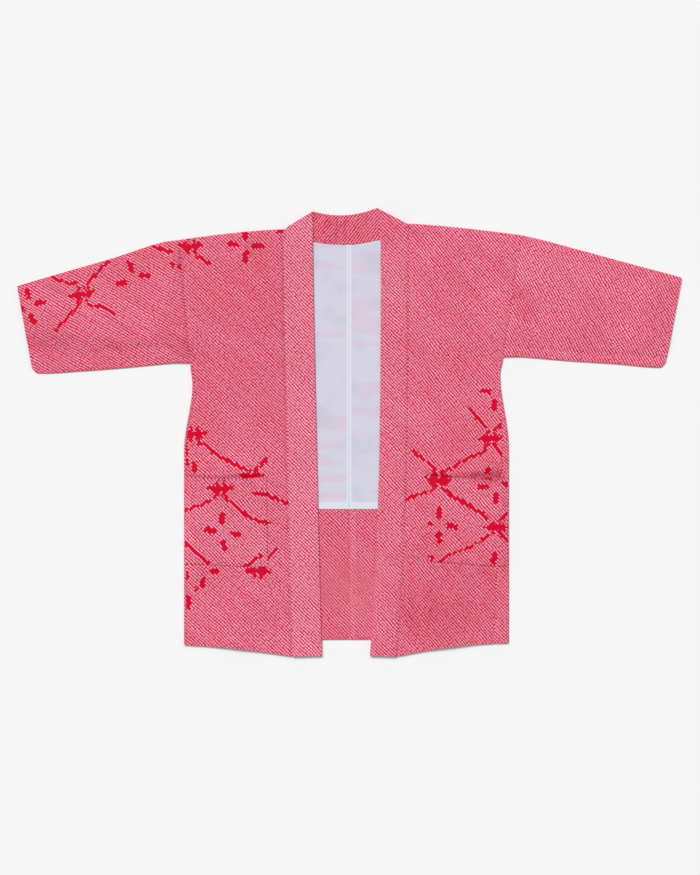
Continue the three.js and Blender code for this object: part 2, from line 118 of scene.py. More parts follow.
def neck_seam_y(side, ax):
    neck_x, neck_y = side["neck"]
    share = (side["sign"] * ax - NECK_MIDDLE_X) / (side["sign"] * neck_x - NECK_MIDDLE_X)
    return mix(NECK_SEAM_Y, neck_y - SHOULDER_LIP, share**2)


def free_edge_y(x):
    return FREE_EDGE_Y + FREE_EDGE_RISE * np.clip(abs(x - NECK_MIDDLE_X) / FREE_HALF, 0, 1) ** 2


def shoulder_y(side, ax):
    share = np.clip((ax - side["neck"][0]) / (side["tip"][0] - side["neck"][0]), 0, 1)
    return mix(side["neck"][1], side["tip"][1], share ** side["shoulder_bow"])


def outer_x(side, y):
    (under_x, under_y), (waist_x, waist_y), (hip_x, hip_y) = side["under"], side["waist"], side["hip"]
    above = mix(under_x, waist_x, ease((under_y - y) / (under_y - waist_y)))
    below = mix(waist_x, hip_x, ease((waist_y - y) / (waist_y - hip_y)))
    return np.where(y > waist_y, above, below)


def gore_seam_x(side, face, y):
    share = np.clip((side["under"][1] - y) / (side["under"][1] - side["hem_side"]), 0, 1)
    return outer_x(side, y) - mix(side["gore_top"][face], side["gore_hem"][face], share)


def panel_edge_x(side, face, y):
    (under_x, under_y), (tip_x, tip_y) = side["under"], side["tip"]
    armhole = mix(under_x, tip_x, (y - under_y) / (tip_y - under_y)) - SEAM / 2
    share = np.clip((under_y - y) / GORE_GAP, 0, 1)
    return np.where(y >= under_y, armhole, mix(under_x - SEAM / 2, gore_seam_x(side, face, y), share))


def back_hem_y(ax):
    return BACK_HEM_Y - BACK_HEM_DROP * (ax / SIDES["right"]["hip"][0]) ** 2


def back_top_y(side, ax):
    over = np.where(ax < side["neck"][0], neck_seam_y(side, ax), shoulder_y(side, ax) - SHOULDER_LIP)
    return over - SEAM


def lift(x, y):
    """How far the collar's leaf behind the neck holds up the cloth above it."""
    aside = np.maximum(0, abs(x - NECK_MIDDLE_X) - FREE_HALF)
    below = np.maximum(0, free_edge_y(x) - y)
    return COLLAR_LIFT * ease(1 + (LIFT_MARGIN - np.hypot(aside, below)) / LIFT_REACH)


def rows_between(start, end, step):
    """Rows of points down a panel, each as a function of the distance from the middle."""
    count = max(2, round(abs(start(0) - end(0)) / step) + 1)
    return [lambda ax, t=t: mix(start(ax), end(ax), t) for t in np.linspace(0, 1, count)]


def level(y):
    return lambda ax: y + 0 * ax


def rows_to_lining_hem(side, top, step):
    """Rows from a panel's top edge past the armpit, where the gore starts, to the lining's hem."""
    rows = rows_between(top, level(side["under"][1]), step)
    return rows + rows_between(level(side["under"][1] - GORE_GAP), level(LINING_HEM_Y), step)


def centre_seam_x(side, y):
    return side["sign"] * CENTRE_X + SEAM / 2 + 0 * y


EDGE_STEPS = (0.6, 1.4, 2.4, 3.6)  # points lie closer beside a seam, so that it can sink in


def across(width, step, near=EDGE_STEPS):
    """The shares of a panel's width at which its points lie."""
    near, far = np.array(near), np.array(EDGE_STEPS)
    start, end = near[-1] + step, width - far[-1] - step
    middle = np.linspace(start, end, max(2, round((end - start) / step)))
    return np.concatenate([[0], near, middle, width - far[::-1], [width]]) / width


def panel_grid(side, face, shares, rows, inner_edge):
    """x and y of a panel's points. Its edges bend, so each point is found in a few rounds."""
    ax = np.zeros((len(rows), len(shares)))
    y = np.array([row(np.zeros(len(shares))) for row in rows])
    for _ in range(6):
        ax = mix(inner_edge(side, y), panel_edge_x(side, face, y), shares[None, :])
        y = np.array([row(ax[i]) for i, row in enumerate(rows)])
    return side["sign"] * ax, y


RIPPLES = 80
RIPPLE_CORNER = 900  # this far to the left of and below the middle lies no cloth


def ripple(x, y, reach, seed):
    """The slight unevenness of cloth that lies free, from -1 to 1."""
    heights = np.random.default_rng(seed).uniform(-1, 1, (RIPPLES, RIPPLES))
    gx, gy = (x + RIPPLE_CORNER) / reach, (y + RIPPLE_CORNER) / reach
    i, j = np.floor(gx).astype(int), np.floor(gy).astype(int)
    tx, ty = ease(gx - i), ease(gy - j)
    i, j = i % (RIPPLES - 1), j % (RIPPLES - 1)
    low = mix(heights[i, j], heights[i + 1, j], tx)
    return mix(low, mix(heights[i, j + 1], heights[i + 1, j + 1], tx), ty)


def crumple(x, y, seed):
    return 0.3 * ripple(x, y, 46, seed) + 0.16 * ripple(x + 0.4 * y, y, 19, seed + 1)


def dip(distance, depth=1.0, width=3.2):
    """How far cloth sinks in beside a seam."""
    return depth * np.exp(-((distance / width) ** 2))


FOLD_STEPS = 8


def turn_over(lower, upper, way, thick):
    """The outer and inner faces of cloth that is folded in two: its lower leaf, the round of the fold,
    then its upper leaf. Also the same points as they lie with the fold opened out."""
    start, end = lower[-1], upper[0]
    centre = (start[:, 2] + end[:, 2]) / 2
    radius = (end[:, 2] - start[:, 2]) / 2
    bends_outer, bends_inner, bends_laid = [], [], []
    for angle in np.linspace(-math.pi / 2, math.pi / 2, FOLD_STEPS + 1)[1:-1]:
        for bends, reach in ((bends_outer, radius), (bends_inner, radius - thick)):
            plan = end[:, :2] + way * (reach * math.cos(angle))[:, None]
            bends.append(stack(plan[:, 0], plan[:, 1], centre + reach * math.sin(angle)))
        bends_laid.append(end[:, :2] + way * (radius * (math.pi / 2 - angle))[:, None])
    beyond = ((start[None, :, :2] - lower[:, :, :2]) * way).sum(-1, keepdims=True)
    lower_laid = lower[:, :, :2] + way * (2 * beyond + (math.pi * radius)[None, :, None])
    up = np.array([0, 0, thick])
    outer = np.concatenate([lower, np.array(bends_outer), upper])
    inner = np.concatenate([lower + up, np.array(bends_inner), upper - up])
    return outer, inner, np.concatenate([lower_laid, np.array(bends_laid), upper[:, :, :2]])


FIGURE_REACH = 60  # beyond this, a dot is too far from a figure to be left out


def nearest_stroke(points, strokes):
    """Distance from each point to the nearest edge of a dyed figure, and the direction away from it.
    A stroke is a straight brush mark: its two ends and half its width."""
    best = np.full(len(points), float(FIGURE_REACH))
    away = np.zeros((len(points), 2))
    for x0, y0, x1, y1, half in strokes:
        low = np.minimum((x0, y0), (x1, y1)) - FIGURE_REACH
        high = np.maximum((x0, y0), (x1, y1)) + FIGURE_REACH
        near = np.flatnonzero(((points > low) & (points < high)).all(1))
        start, run = np.array([x0, y0]), np.array([x1 - x0, y1 - y0])
        share = np.clip((points[near] - start) @ run / max(run @ run, 1e-9), 0, 1)
        gap = points[near] - start - share[:, None] * run
        length = np.linalg.norm(gap, axis=1)
        closer = length - half < best[near]
        chosen = near[closer]
        best[chosen] = length[closer] - half
        away[chosen] = gap[closer] / np.maximum(length[closer], 1e-6)[:, None]
    return best, away


DOT_PITCH = (4.7, 4.85)  # from row to row, and from dot to dot along a row, as in fine kanoko work
ROW_TURN = 45  # the rows of dots slant across the cloth
SHARP_ANGLE = 50


def sew(name, node, outer, inner, laid, closed=False, grain=0.0, strokes=(), dye_and_shade=0.0):
    """A closed thin piece of cloth between two grids of points. "closed" joins its first row to its
    last, as round a sleeve. "grain" is the cloth's turn in degrees. The last argument is how pale or
    deep its dots are: uneven dye, and also painted shade along some creases and pocket mouths."""
    rows, columns = outer.shape[:2]
    count = rows * columns
    points = np.concatenate([outer.reshape(-1, 3), inner.reshape(-1, 3)])
    index = np.arange(count).reshape(rows, columns)
    ring = np.vstack([index, index[:1]]) if closed else index
    a, b, c, d = ring[:-1, :-1], ring[1:, :-1], ring[1:, 1:], ring[:-1, 1:]
    quads = [np.stack([a, b, c, d], -1).reshape(-1, 4), np.stack([a, d, c, b], -1).reshape(-1, 4) + count]
    borders = [(ring[:, 0], 1), (ring[:, -1], -1)]
    if not closed:
        borders += [(index[0], -1), (index[-1], 1)]
    for line, way in borders:
        near, far = (line[:-1], line[1:]) if way > 0 else (line[1:], line[:-1])
        quads.append(np.stack([near, near + count, far + count, far], -1))
    faces = np.concatenate(quads)
    corner = points[faces]
    volume = np.einsum("ij,ij->i", corner[:, 0], np.cross(corner[:, 1], corner[:, 2])).sum()
    volume += np.einsum("ij,ij->i", corner[:, 0], np.cross(corner[:, 2], corner[:, 3])).sum()
    if volume < 0:
        faces = faces[:, ::-1]
    mesh = bpy.data.meshes.new(name)
    mesh.vertices.add(len(points))
    mesh.vertices.foreach_set("co", (points * MM).ravel())
    mesh.loops.add(faces.size)
    mesh.loops.foreach_set("vertex_index", faces.ravel())
    mesh.polygons.add(len(faces))
    mesh.polygons.foreach_set("loop_start", np.arange(0, faces.size, 4))
    mesh.polygons.foreach_set("use_smooth", np.ones(len(faces), bool))
    mesh.update(calc_edges=True)
    mesh.set_sharp_from_angle(angle=math.radians(SHARP_ANGLE))
    turn = math.radians(ROW_TURN + grain)
    over_rows = np.array([math.cos(turn), math.sin(turn)])  # across the rows of dots
    along_rows = np.array([-math.sin(turn), math.cos(turn)])
    flat = np.concatenate([laid.reshape(-1, 2), laid.reshape(-1, 2)])
    cells = np.stack([flat @ over_rows, flat @ along_rows], -1) / DOT_PITCH
    dots = mesh.uv_layers.new(name="dots")
    dots.data.foreach_set("uv", cells[faces.ravel()].ravel())
    distance, away = nearest_stroke(flat, strokes)
    slope = np.stack([away @ over_rows, away @ along_rows], -1) * DOT_PITCH
    figure = mesh.attributes.new("figure", "FLOAT_VECTOR", "POINT")
    figure.data.foreach_set("vector", np.column_stack([slope, distance]).ravel())
    depth = mesh.attributes.new("dye_and_shade", "FLOAT", "POINT")
    tones = np.broadcast_to(np.asarray(dye_and_shade, float), outer.shape[:2]).ravel()
    depth.data.foreach_set("value", np.concatenate([tones, tones]))
    cloth = bpy.data.objects.new(name, mesh)
    bpy.context.scene.collection.objects.link(cloth)
    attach(cloth, "root")
    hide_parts(node)
    return cloth


def linear(hex_colour):
    """An sRGB hex colour as the linear values that a shader takes."""
    values = [int(hex_colour[i : i + 2], 16) / 255 for i in (1, 3, 5)]
    return [v / 12.92 if v <= 0.04045 else ((v + 0.055) / 1.055) ** 2.4 for v in values] + [1.0]


def add(tree, kind, inputs=(), **settings):
    """Adds one node to a material, with its settings and its inputs, and gives its outputs. The inputs
    are values or other nodes' outputs, by name or in their order."""
    made = tree.nodes.new("ShaderNode" + kind)
    for key, value in settings.items():
        setattr(made, key, value)
    for key, value in inputs.items() if isinstance(inputs, dict) else enumerate(inputs):
        if isinstance(value, bpy.types.NodeSocket):
            tree.links.new(value, made.inputs[key])
        else:
            made.inputs[key].default_value = value
    return made.outputs


ROW_WANDER = 42.73  # over this length the rows of dots bend to and fro
DYE_CLOUD = 104.4  # the width of the patches where the dye took more or less
ROW_BINDING = (9.4, 138.6)  # some rows are bound tighter: how far apart they lie, and for what length
CREPE_GRAIN = 0.94  # about twice as coarse as it is, so that it shows
# In cells of one dot each, first across the rows and then along them.
ROW_SWAY = (1.3, 1.3, 0.0)
DOT_JITTER = (0.16, 0.32, 0.0)
DOT_SHAPE = (2.9, 1.85, 0.0)  # what stretches a dot's cell, so that the dot is longer along its row
DOT_EDGE = dict(outer=1.22, inner=0.54)  # from the red round a dot to its pale middle
SPECK_EDGE = dict(outer=0.15, inner=0.08)
FIGURE_RAG = dict(margin=1.1, uneven=2.2)  # how near to a figure dots are bound, and how unevenly


def kanoko_silk():
    """Silk crepe, tie-dyed: to the eye a red ground with close slanting rows of pale dots, each with a
    red speck where the thread was tied off, a fine pucker and a soft sheen. Figures stay plain red."""
    material = bpy.data.materials.new("tie_dyed_silk_crepe")
    material.use_nodes = True
    tree = material.node_tree
    shader = tree.nodes["Principled BSDF"]
    across_rows, along_row = DOT_PITCH

    cells = add(tree, "UVMap", uv_map="dots")["UV"]
    wander = add(
        tree, "TexNoise", {"Vector": cells, "Scale": across_rows / ROW_WANDER, "Detail": 2.0},
        noise_dimensions="2D",
    )
    shift = add(tree, "VectorMath", (wander["Color"], (0.5, 0.5, 0.5)), operation="SUBTRACT")
    sway = add(tree, "VectorMath", (shift[0], ROW_SWAY), operation="MULTIPLY")
    swayed = add(tree, "VectorMath", (cells, sway[0]), operation="ADD")
    middle = add(tree, "VectorMath", (swayed[0], (0.5, 0.5, 0.0)), operation="ADD")
    cell = add(tree, "VectorMath", (middle[0],), operation="FLOOR")
    offset = add(tree, "VectorMath", (swayed[0], cell[0]), operation="SUBTRACT")
    chance = add(tree, "TexWhiteNoise", {"Vector": cell[0]}, noise_dimensions="2D")
    jitter = add(tree, "VectorMath", (chance["Color"], (0.5, 0.5, 0.5)), operation="SUBTRACT")
    nudge = add(tree, "VectorMath", (jitter[0], DOT_JITTER), operation="MULTIPLY")
    placed = add(tree, "VectorMath", (offset[0], nudge[0]), operation="ADD")
    shaped = add(tree, "VectorMath", (placed[0], DOT_SHAPE), operation="MULTIPLY")
    reach = add(tree, "VectorMath", (shaped[0],), operation="LENGTH")
    pale = add(
        tree, "MapRange", (reach["Value"], DOT_EDGE["outer"], DOT_EDGE["inner"], 0.0, 1.0),
        interpolation_type="SMOOTHSTEP",
    )
    centre = add(tree, "VectorMath", (placed[0],), operation="LENGTH")
    speck = add(tree, "MapRange", (centre["Value"], SPECK_EDGE["outer"], SPECK_EDGE["inner"], 0.0, 0.55))
    ring = add(tree, "Math", (pale[0], speck[0]), operation="SUBTRACT", use_clamp=True)

    # A whole dot is bound or left out by its own distance from the figure, so figures are jagged.
    figure = add(tree, "Attribute", attribute_name="figure")["Vector"]
    distance = add(tree, "SeparateXYZ", (figure,))["Z"]
    lean = add(tree, "VectorMath", (figure, offset[0]), operation="DOT_PRODUCT")
    at_dot = add(tree, "Math", (distance, lean["Value"]), operation="SUBTRACT")
    ragged = add(tree, "Math", (chance["Value"], FIGURE_RAG["uneven"], at_dot[0]), operation="MULTIPLY_ADD")
    outside = add(tree, "Math", (ragged[0], FIGURE_RAG["margin"]), operation="GREATER_THAN")
    figured = add(tree, "Math", (ring[0], outside[0]), operation="MULTIPLY")

    # This attribute's value makes the pale dots stronger or weaker and, below zero, darkens the cloth: partly
    # uneven dye, partly painted shade in creases and pocket mouths.
    dye_and_shade = add(tree, "Attribute", attribute_name="dye_and_shade")["Fac"]
    cloud = add(
        tree, "TexNoise", {"Vector": cells, "Scale": across_rows / DYE_CLOUD, "Detail": 3.0},
        noise_dimensions="2D",
    )
    uneven = add(tree, "Math", (cloud["Fac"], 0.34, 0.35), operation="MULTIPLY_ADD")
    to_binding = (across_rows / ROW_BINDING[0], along_row / ROW_BINDING[1], 1.0)
    by_row = add(tree, "Mapping", {"Vector": cells, "Scale": to_binding})
    tension = add(tree, "TexNoise", {"Vector": by_row[0], "Scale": 1.0, "Detail": 1.0}, noise_dimensions="2D")
    bound = add(tree, "Math", (tension["Fac"], 0.42, uneven[0]), operation="MULTIPLY_ADD")
    toned = add(tree, "Math", (bound[0], dye_and_shade), operation="ADD")
    each = add(tree, "Math", (chance["Value"], 0.2, toned[0]), operation="MULTIPLY_ADD")
    strength = add(tree, "Math", (figured[0], each[0]), operation="MULTIPLY", use_clamp=True)
    ground = add(
        tree, "Mix", {"Factor": cloud["Fac"], "A": linear("#ca0227"), "B": linear("#d30833")},
        data_type="RGBA",
    )
    dotted_cloth = add(
        tree, "Mix", {"Factor": strength[0], "A": ground["Result"], "B": linear("#eab2cd")},
        data_type="RGBA",
    )
    # Painted shade as well as deeper dye: below zero the cloth is mixed towards a deep purple red.
    deep_dye_and_shade = add(tree, "Math", (dye_and_shade, -0.8), operation="MULTIPLY", use_clamp=True)
    colour = add(
        tree, "Mix", {"Factor": deep_dye_and_shade[0], "A": dotted_cloth["Result"], "B": linear("#7a1632")},
        data_type="RGBA",
    )
    crepe = add(
        tree, "TexNoise", {"Vector": cells, "Scale": across_rows / CREPE_GRAIN, "Detail": 2.0},
        noise_dimensions="2D",
    )
    pucker = add(tree, "Math", (crepe["Fac"], 0.35, figured[0]), operation="MULTIPLY_ADD")
    bump = add(tree, "Bump", {"Height": pucker[0], "Strength": 0.55, "Distance": 0.4 * MM})
    tree.links.new(colour["Result"], shader.inputs["Base Color"])
    tree.links.new(bump["Normal"], shader.inputs["Normal"])
    shader.inputs["Roughness"].default_value = 0.62
    shader.inputs["IOR"].default_value = 1.5
    shader.inputs["Specular IOR Level"].default_value = 0.25
    shader.inputs["Specular Tint"].default_value = linear("#ff7888")
    shader.inputs["Sheen Weight"].default_value = 0.06
    shader.inputs["Sheen Roughness"].default_value = 0.4
    shader.inputs["Sheen Tint"].default_value = linear("#ff7d92")
    return material


dotted_silk = kanoko_silk()
KNOT_REACH = 22  # from a knot's middle to the tip of its bow


def petal(x, y, turn, length=23, half=5.0):
    reach = length / 2 - half
    dx, dy = reach * math.cos(math.radians(turn)), reach * math.sin(math.radians(turn))
    return [(x - dx, y - dy, x + dx, y + dy, half)]


def vine(*points, half=2.6):
    return [(*a, *b, half) for a, b in zip(points[:-1], points[1:])]


def knot(x, y, *arms, turn=0):
    """A tied bow: two wings that narrow to the middle, a short horn at each corner, and arms that curl
    out of its corners to the places given."""
    c, s = math.cos(math.radians(turn)), math.sin(math.radians(turn))

    def mark(x0, y0, x1, y1, half):
        return (x + x0 * c - y0 * s, y + x0 * s + y0 * c, x + x1 * c - y1 * s, y + x1 * s + y1 * c, half)

    strokes = [mark(-9, 0, 9, 0, 4.3)]
    for way in (-1, 1):
        strokes.append(mark(way * 12.5, -2.5, way * 12.5, 2.5, 5.0))
        strokes.append(mark(way * 14, 1, way * KNOT_REACH, 1, 3.2))
        strokes.append(mark(way * 5.5, -13, way * 8, 0, 2.6))
        strokes.append(mark(way * 8, 0, way * 5.5, 13, 2.6))
    for dx, dy in arms:
        corner = (x + 7 * np.sign(dx), y + 8 * np.sign(dy))
        elbow = (x + 8 * np.sign(dx) + 0.08 * dx, y + 14 * np.sign(dy) + 0.2 * dy)
        middle = (x + 0.55 * dx, y + 0.62 * dy)
        strokes += vine(corner, elbow, middle, (x + dx, y + dy))
    return strokes


BACK_REPEAT = (102, 172)  # a knot's pitch across and down the cloth, every second column set half lower


def net(x_low, x_high, y_low, y_high, start_x, start_y):
    """The whole figure in its repeat: knots joined by vines, with four petals in each space."""
    pitch_x, pitch_y = BACK_REPEAT
    strokes = []
    for column in range(-9, 10):
        x = start_x + column * pitch_x
        if not x_low < x < x_high:
            continue
        for row in range(-6, 7):
            y = start_y + (row + 0.5 * (column % 2)) * pitch_y
            if y_low < y < y_high:
                strokes += knot(x, y, (92, -70), (-92, -70), (38, 30), (-38, 30))
            if y_low < y + pitch_y / 2 < y_high:
                for dx, dy, turn in ((0, 25, 90), (0, -25, 90), (25, 0, -5), (-25, 0, 5)):
                    strokes += petal(x + dx, y + pitch_y / 2 + dy, turn)
    return strokes


NET_WIDTH = dict(right=(-330, -130), left=(130, 330))  # clear of the facing that shows
NET_LENGTH = (-640, 400)
NET_START = (205, 40)
STRAY_MARK = (7, -308)  # one pinch of the facing that took the dye
ALLOWANCE = (1, 13)  # the seam's spare cloth is pressed to one side and shows through as a low step
FACING_SEED = 11


def on_allowance(x, soft):
    return ease((x - ALLOWANCE[0]) / soft) * ease((ALLOWANCE[1] - x) / soft)


for hand, side in SIDES.items():
    shares = across(BODY_WIDTH, FACING_STEP)
    rows = rows_to_lining_hem(side, lambda ax: back_top_y(side, ax), COVERED_STEP)
    hem_rows = rows_between(level(LINING_HEM_Y - SEAM), lambda ax: back_hem_y(ax) + HEM_RADIUS, FACING_STEP)
    x, y = panel_grid(side, "back", shares, rows + hem_rows[1:], centre_seam_x)
    lower = stack(x, y, lift(x, y))
    x, y = panel_grid(side, "back", shares, hem_rows[::-1], centre_seam_x)
    height = FACING_TOP - dip(abs(x - CENTRE_X), 0.5, 3) + 0.5 * on_allowance(x, 2.5)
    height = height + 0.2 * crumple(x, y, FACING_SEED)
    upper = stack(x, y, np.minimum(height, FRONT_LEVEL - 0.05))
    outer, inner, laid = turn_over(lower, upper, np.array([0.0, -1.0]), SILK)
    figures = net(*NET_WIDTH[hand], *NET_LENGTH, side["sign"] * NET_START[0], NET_START[1])
    if hand == "left":
        figures += petal(*STRAY_MARK, 0, length=5, half=2.4)
    back = sew(
        f"back_{hand}_silk", f"back_{hand}", outer, inner, laid,
        grain=-1, strokes=figures, dye_and_shade=0.21 * on_allowance(laid[:, :, 0], 3) - 0.03,
    )
    back.data.materials.append(dotted_silk)

# Lining. Two widths of thin smooth silk inside the back, sewn together down the middle and hemmed
# below. It is dyed pale lilac, with faint pink bars and grey clouds brushed on by hand.
LINING_SILK = 0.6
LINING_TOP = INSIDE_LEVEL + 1.0
# Where the thin silk lies double, at its centre seam and its hem, it looks paler.
DOUBLED = [
    (CENTRE_X, LINING_HEM_Y, CENTRE_X, NECK_SEAM_Y + 30, 4.3), (-320, -140, 320, -140, 6.4),
]
LINING_DYE = dict(right=0.0, left=7.3)  # each length is brushed anew
LINING_SEED = 21
BARS = (333.3, 32.26)  # the length and height of a brushed bar
CLOUDS = 58.8
THREADS = (1.11, 0.77)  # the real ones, about 0.2 apart, are too fine to show, so these are coarser


def brushed_silk():
    """Plain-woven silk, dyed by brush: to the eye smooth and almost white, with a gloss across the
    weave, and soft-edged bars and clouds of colour."""
    material = bpy.data.materials.new("brush_dyed_plain_silk")
    material.use_nodes = True
    tree = material.node_tree
    shader = tree.nodes["Principled BSDF"]
    place = add(tree, "TexCoord")["Object"]
    dye_and_shade = add(tree, "Attribute", attribute_name="dye_and_shade")["Fac"]
    to_bars = (1 / (BARS[0] * MM), 1 / (BARS[1] * MM), 1.0)
    bars = add(tree, "Mapping", {"Vector": place, "Rotation": (0, 0, 0.05), "Scale": to_bars})
    bar_noise = add(
        tree, "TexNoise", {"Vector": bars[0], "W": dye_and_shade, "Scale": 1.0, "Detail": 1.0},
        noise_dimensions="4D",
    )
    bar = add(tree, "MapRange", (bar_noise["Fac"], 0.5, 0.54, 0.0, 0.62), interpolation_type="SMOOTHSTEP")
    clouds = add(tree, "TexNoise", {"Vector": place, "Scale": 1 / (CLOUDS * MM), "Detail": 2.5})
    cloud = add(tree, "MapRange", (clouds["Fac"], 0.46, 0.66, 0.0, 0.6), interpolation_type="SMOOTHSTEP")
    pink = add(
        tree, "Mix", {"Factor": bar[0], "A": linear("#cfcddc"), "B": linear("#d5bfd1")}, data_type="RGBA"
    )
    grey = add(
        tree, "Mix", {"Factor": cloud[0], "A": pink["Result"], "B": linear("#bfc3d3")}, data_type="RGBA"
    )
    figure = add(tree, "Attribute", attribute_name="figure")["Vector"]
    distance = add(tree, "SeparateXYZ", (figure,))["Z"]
    doubled = add(tree, "MapRange", (distance, 0.9, -0.9, 0.0, 1.0), interpolation_type="SMOOTHSTEP")
    tone = add(
        tree, "Mix", {"Factor": doubled[0], "A": grey["Result"], "B": linear("#d9dce6")}, data_type="RGBA"
    )
    to_threads = (1 / (THREADS[0] * MM), 1 / (THREADS[1] * MM), 1.0)
    threads = add(tree, "Mapping", {"Vector": place, "Scale": to_threads})
    weave = add(tree, "TexNoise", {"Vector": threads[0], "Scale": 1.0, "Detail": 1.0})
    bump = add(tree, "Bump", {"Height": weave["Fac"], "Strength": 0.25, "Distance": 0.15 * MM})
    tree.links.new(tone["Result"], shader.inputs["Base Color"])
    tree.links.new(bump["Normal"], shader.inputs["Normal"])
    shader.inputs["Roughness"].default_value = 0.42
    shader.inputs["IOR"].default_value = 1.5
    shader.inputs["Specular IOR Level"].default_value = 0.4
    shader.inputs["Sheen Weight"].default_value = 0.1
    shader.inputs["Sheen Roughness"].default_value = 0.3
    return material


plain_silk = brushed_silk()
for hand, side in SIDES.items():
    rows = rows_to_lining_hem(side, lambda ax: back_top_y(side, ax), COVERED_STEP)
    x, y = panel_grid(side, "back", across(BODY_WIDTH, COVERED_STEP), rows, centre_seam_x)
    height = LINING_TOP - dip(abs(x - CENTRE_X), 0.12, 3) + 0.25 * crumple(x, y, LINING_SEED)
    outer = stack(x, y, height + lift(x, y))
    inner = outer - np.array([0, 0, LINING_SILK])
    lining = sew(
        f"lining_{hand}_silk", f"lining_{hand}", outer, inner, outer[:, :, :2],
        strokes=DOUBLED, dye_and_shade=LINING_DYE[hand],
    )
    lining.data.materials.append(plain_silk)

# Fronts. One length each, from a lip behind the shoulder over the fold and down to the hem, sewn to
# sleeve and gore. The silk lies loose on the layers below, in soft folds that run down the chest.
COLLAR_OVERLAP = 4
# Each fold: x and y of its middle, its turn from +X in degrees, its length, how far its slopes reach
# to either side (a pair is for the sides below and above it), and its height.
FOLDS = [
    (-489, 188, -3, 350, (20, 58), 3.8),
    (-566, 155, -10, 190, 10, -1.3),
    (-428, 158, 5, 200, 8, -1.3),
    (-484, 228, -35, 190, 7, -1.6),
    (-598, 180, -42, 100, 9, -1.8),
    (-520, 212, -20, 110, 8, -1.2),
    (-354, 168, -45, 70, 6, -2.2),
    (-300, 170, -42, 90, 14, 2.6),
    (-345, 262, 88, 190, 18, 1.6),
    (-292, 262, 90, 190, 18, 1.2),
    (-168, 333, -45, 110, 6, -2.8),
    (-190, 312, -48, 120, 20, 2.2),
    (332, 233, -56, 110, 6, -2.8),
    (318, 262, -15, 50, 7, -1.6),
    (300, 228, -60, 120, 16, 2.2),
    (410, 262, -62, 260, 46, 2.8),
    (470, 194, -5, 440, 27, 1.3),
    (478, 151, -4, 390, 7, -1.5),
    (572, 222, 80, 160, 34, 2.0),
    (200, 255, -62, 280, 46, 2.2),
    (219, -46, 20, 90, 7, 0.8),
    (-212, 175, 96, 270, 46, 2.8),
    (-206, -362, 84, 170, 34, 2.6),
    (-250, -385, 82, 90, 11, 0.8),
    (-150, -370, 88, 110, 11, 0.7),
    (190, -372, 95, 160, 34, 2.4),
    (130, -330, 92, 190, 10, -1.0),
    (150, -330, 91, 180, 11, 1.2),
    (236, -345, 86, 140, 12, -0.6),
    (262, -330, 87, 150, 12, 0.5),
]
FOLD_FADE = 0.5


def folded(x, y):
    total = 0 * x
    for fold_x, fold_y, turn, length, reach, height in FOLDS:
        c, s = math.cos(math.radians(turn)), math.sin(math.radians(turn))
        lengthwise = (x - fold_x) * c + (y - fold_y) * s
        beside = (y - fold_y) * c - (x - fold_x) * s
        below, above = np.broadcast_to(reach, 2)
        fade = ease((1 - abs(lengthwise) / (length / 2)) / FOLD_FADE)
        total = total + height * fade * np.exp(-((beside / np.where(beside > 0, above, below)) ** 2))
    return total


def clear_of(height, lowest):
    """Keeps a layer above the one that it lies on, with a soft landing."""
    return lowest + 0.5 * (height - lowest + np.sqrt((height - lowest) ** 2 + 0.25))


def collar_in_x(side, y):
    top, bow = side["collar_top"], side["collar_bow"]
    above = mix(top, side["peak"][0], (y - NECK_SEAM_Y) / (side["peak"][1] - NECK_SEAM_Y))
    share = np.clip((NECK_SEAM_Y - y) / (NECK_SEAM_Y - side["hem_end"]), 0, None)
    return np.where(y > NECK_SEAM_Y, above, mix(top, side["collar_hem"], share**bow))


def collar_out_x(side, y):
    seam = collar_in_x(side, np.minimum(y, NECK_SEAM_Y)) + side["collar_width"]
    return np.minimum(seam, side["neck"][0])


def front_inner_x(side, y):
    return collar_out_x(side, y) - COLLAR_OVERLAP


def front_hem_y(side, ax):
    start, end = side["hip"][0], side["collar_hem"] + side["collar_width"]
    share = np.clip((start - ax) / (start - end), 0, 1)
    return mix(side["hem_side"], side["hem_collar"], share ** side["hem_bow"])


# Where each pocket sits: its inner and outer edges, its mouth and how far that sags, and the inner and
# outer ends of its foot. The front swells behind it, and sinks in along its mouth and its stitches.
# "depth" is how far it sinks in at the mouth, most at the share "deepest" of the mouth's width.
POCKETS = {
    "right": dict(
        inner=160, outer=318, lean=3, top=-85, sag=5, foot=(-257.5, -252), depth=3.9, deepest=0.35, slack=0,
    ),
    "left": dict(
        inner=149, outer=304, lean=-2, top=-83, sag=5.5, foot=(-248, -256), depth=5.6, deepest=0.8, slack=1,
    ),
}
SWELL = 2.4


def pocket_foot_y(pocket, share):
    return mix(*pocket["foot"], ease(share))


def across_pocket(pocket, ax):
    return (ax - pocket["inner"]) / (pocket["outer"] - pocket["inner"])


def swell(x, y):
    total = 0 * x
    for name, pocket in POCKETS.items():
        ax = SIDES[name]["sign"] * x
        wide = ease((ax - pocket["inner"] + 40) / 50) * ease((pocket["outer"] + 30 - ax) / 36)
        below_foot = pocket_foot_y(pocket, across_pocket(pocket, ax)) - y
        total = total + SWELL * wide * ease((pocket["top"] + 60 - y) / 60) * ease((50 - below_foot) / 70)
    return total


def crevice(pocket, ax, y):
    """How far the front sinks in along its pocket's mouth."""
    share = across_pocket(pocket, ax)
    line = pocket["top"] - pocket["sag"] * np.sin(math.pi * np.clip(share, 0, 1))
    deepest = np.exp(-(((share - pocket["deepest"]) / 0.24) ** 2))
    along_mouth = ease((share + 0.03) / 0.1) * (0.62 + 0.38 * deepest)
    slack = pocket["slack"] * deepest  # where the cloth hangs slack, it slopes down into the mouth
    width = mix(4.6 + 2.2 * deepest, 10, slack)
    return pocket["depth"] * along_mouth * np.exp(-(abs((y - line) / width) ** mix(4, 1.6, slack)))


